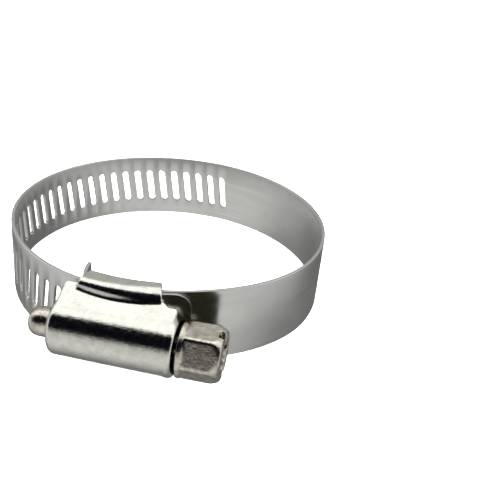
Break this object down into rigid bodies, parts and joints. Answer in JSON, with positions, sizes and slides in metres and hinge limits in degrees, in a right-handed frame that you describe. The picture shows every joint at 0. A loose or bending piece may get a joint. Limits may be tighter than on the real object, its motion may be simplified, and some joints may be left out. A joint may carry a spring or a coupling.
{
  "type": "hose clamp",
  "caption": "Worm-drive hose clamp: a slotted steel band loops through a stamped housing, and a hex-head screw draws the band's free end through to tighten the ring.",
  "frame": {"origin": "middle of the ring's bore, at half the band's width", "axes": "+Z along the ring's bore axis, +X along the screw towards its hex head, -Y from the ring's middle to the housing"},
  "size_m": [0.0568, 0.0641, 0.0148],
  "materials": {
    "band_stainless": "satin grey rolled stainless strip, finely brushed along its length",
    "housing_bright": "bright smooth stamped sheet",
    "screw_plated": "bright plated, grainy on the hex faces"
  },
  "bodies": {
    "housing": {"housing": "housing_bright", "band_fixed_end": "band_stainless"},
    "worm_screw": {"worm_screw": "screw_plated"},
    "band_tail": {"band_tail": "band_stainless"},
    "band_link_right_1": {"band_link_right_1": "band_stainless"},
    "band_link_right_2": {"band_link_right_2": "band_stainless"},
    "band_link_right_3": {"band_link_right_3": "band_stainless"},
    "band_link_right_4": {"band_link_right_4": "band_stainless"},
    "band_link_right_5": {"band_link_right_5": "band_stainless"},
    "band_link_right_6": {"band_link_right_6": "band_stainless"},
    "band_link_right_7": {"band_link_right_7": "band_stainless"},
    "band_link_right_8": {"band_link_right_8": "band_stainless"},
    "band_link_right_9": {"band_link_right_9": "band_stainless"},
    "band_link_right_10": {"band_link_right_10": "band_stainless"},
    "band_link_left_1": {"band_link_left_1": "band_stainless"},
    "band_link_left_2": {"band_link_left_2": "band_stainless"},
    "band_link_left_3": {"band_link_left_3": "band_stainless"},
    "band_link_left_4": {"band_link_left_4": "band_stainless"},
    "band_link_left_5": {"band_link_left_5": "band_stainless"},
    "band_link_left_6": {"band_link_left_6": "band_stainless"},
    "band_link_left_7": {"band_link_left_7": "band_stainless"},
    "band_link_left_8": {"band_link_left_8": "band_stainless"}
  },
  "joints": [
    {"name": "screw_turn", "type": "hinge", "parent": "housing", "child": "worm_screw", "pos_m": [0, -0.0309, 0], "axis": [-1, 0, 0], "range_deg": [0, 1800]},
    {"name": "tail_feed", "type": "hinge", "parent": "housing", "child": "band_tail", "pos_m": [0, 0, 0], "axis": [0, 0, 1], "range_deg": [0, 27.67]},
    {"name": "flex_right_1", "type": "hinge", "parent": "housing", "child": "band_link_right_1", "pos_m": [0.00764, -0.02579, 0], "axis": [0, 0, 1], "range_deg": [0, 1.51]},
    {"name": "flex_right_2", "type": "hinge", "parent": "band_link_right_1", "child": "band_link_right_2", "pos_m": [0.01468, -0.02273, 0], "axis": [0, 0, 1], "range_deg": [0, 1.36]},
    {"name": "flex_right_3", "type": "hinge", "parent": "band_link_right_2", "child": "band_link_right_3", "pos_m": [0.0209, -0.01804, 0], "axis": [0, 0, 1], "range_deg": [0, 1.25]},
    {"name": "flex_right_4", "type": "hinge", "parent": "band_link_right_3", "child": "band_link_right_4", "pos_m": [0.02559, -0.01163, 0], "axis": [0, 0, 1], "range_deg": [0, 1.21]},
    {"name": "flex_right_5", "type": "hinge", "parent": "band_link_right_4", "child": "band_link_right_5", "pos_m": [0.02792, -0.00397, 0], "axis": [0, 0, 1], "range_deg": [0, 1.22]},
    {"name": "flex_right_6", "type": "hinge", "parent": "band_link_right_5", "child": "band_link_right_6", "pos_m": [0.02791, 0.00405, 0], "axis": [0, 0, 1], "range_deg": [0, 1.27]},
    {"name": "flex_right_7", "type": "hinge", "parent": "band_link_right_6", "child": "band_link_right_7", "pos_m": [0.02564, 0.01174, 0], "axis": [0, 0, 1], "range_deg": [0, 1.38]},
    {"name": "flex_right_8", "type": "hinge", "parent": "band_link_right_7", "child": "band_link_right_8", "pos_m": [0.0213, 0.01848, 0], "axis": [0, 0, 1], "range_deg": [0, 1.54]},
    {"name": "flex_right_9", "type": "hinge", "parent": "band_link_right_8", "child": "band_link_right_9", "pos_m": [0.01524, 0.02373, 0], "axis": [0, 0, 1], "range_deg": [0, 1.71]},
    {"name": "flex_right_10", "type": "hinge", "parent": "band_link_right_9", "child": "band_link_right_10", "pos_m": [0.00794, 0.02706, 0], "axis": [0, 0, 1], "range_deg": [0, 1.83]},
    {"name": "flex_left_1", "type": "hinge", "parent": "band_tail", "child": "band_link_left_1", "pos_m": [-0.02086, -0.0183, 0], "axis": [0, 0, 1], "range_deg": [-3.82, 0]},
    {"name": "flex_left_2", "type": "hinge", "parent": "band_link_left_1", "child": "band_link_left_2", "pos_m": [-0.02526, -0.01161, 0], "axis": [0, 0, 1], "range_deg": [-2.24, 0]},
    {"name": "flex_left_3", "type": "hinge", "parent": "band_link_left_2", "child": "band_link_left_3", "pos_m": [-0.02765, -0.00396, 0], "axis": [0, 0, 1], "range_deg": [-0.9862, 0]},
    {"name": "flex_left_4", "type": "hinge", "parent": "band_link_left_3", "child": "band_link_left_4", "pos_m": [-0.0278, 0.00405, 0], "axis": [0, 0, 1], "range_deg": [-0.5244, 0]},
    {"name": "flex_left_5", "type": "hinge", "parent": "band_link_left_4", "child": "band_link_left_5", "pos_m": [-0.02562, 0.01176, 0], "axis": [0, 0, 1], "range_deg": [-0.654, 0]},
    {"name": "flex_left_6", "type": "hinge", "parent": "band_link_left_5", "child": "band_link_left_6", "pos_m": [-0.02128, 0.0185, 0], "axis": [0, 0, 1], "range_deg": [-1.12, 0]},
    {"name": "flex_left_7", "type": "hinge", "parent": "band_link_left_6", "child": "band_link_left_7", "pos_m": [-0.01522, 0.02374, 0], "axis": [0, 0, 1], "range_deg": [-1.76, 0]},
    {"name": "flex_left_8", "type": "hinge", "parent": "band_link_left_7", "child": "band_link_left_8", "pos_m": [-0.00793, 0.02706, 0], "axis": [0, 0, 1], "range_deg": [-2.32, 0]}
  ],
  "couplings": [
    {"joint": "tail_feed", "follows": "screw_turn", "ratio": 0.015371},
    {"joint": "flex_right_1", "follows": "screw_turn", "ratio": 0.0008358},
    {"joint": "flex_right_2", "follows": "screw_turn", "ratio": 0.0007539},
    {"joint": "flex_right_3", "follows": "screw_turn", "ratio": 0.0006906},
    {"joint": "flex_right_4", "follows": "screw_turn", "ratio": 0.0006686},
    {"joint": "flex_right_5", "follows": "screw_turn", "ratio": 0.0006746},
    {"joint": "flex_right_6", "follows": "screw_turn", "ratio": 0.0007068},
    {"joint": "flex_right_7", "follows": "screw_turn", "ratio": 0.0007682},
    {"joint": "flex_right_8", "follows": "screw_turn", "ratio": 0.0008553},
    {"joint": "flex_right_9", "follows": "screw_turn", "ratio": 0.0009499},
    {"joint": "flex_right_10", "follows": "screw_turn", "ratio": 0.0010168},
    {"joint": "flex_left_1", "follows": "screw_turn", "ratio": -0.0021225},
    {"joint": "flex_left_2", "follows": "screw_turn", "ratio": -0.0012406},
    {"joint": "flex_left_3", "follows": "screw_turn", "ratio": -0.0005468},
    {"joint": "flex_left_4", "follows": "screw_turn", "ratio": -0.0002902},
    {"joint": "flex_left_5", "follows": "screw_turn", "ratio": -0.0003622},
    {"joint": "flex_left_6", "follows": "screw_turn", "ratio": -0.0006232},
    {"joint": "flex_left_7", "follows": "screw_turn", "ratio": -0.0009765},
    {"joint": "flex_left_8", "follows": "screw_turn", "ratio": -0.0012883}
  ]
}
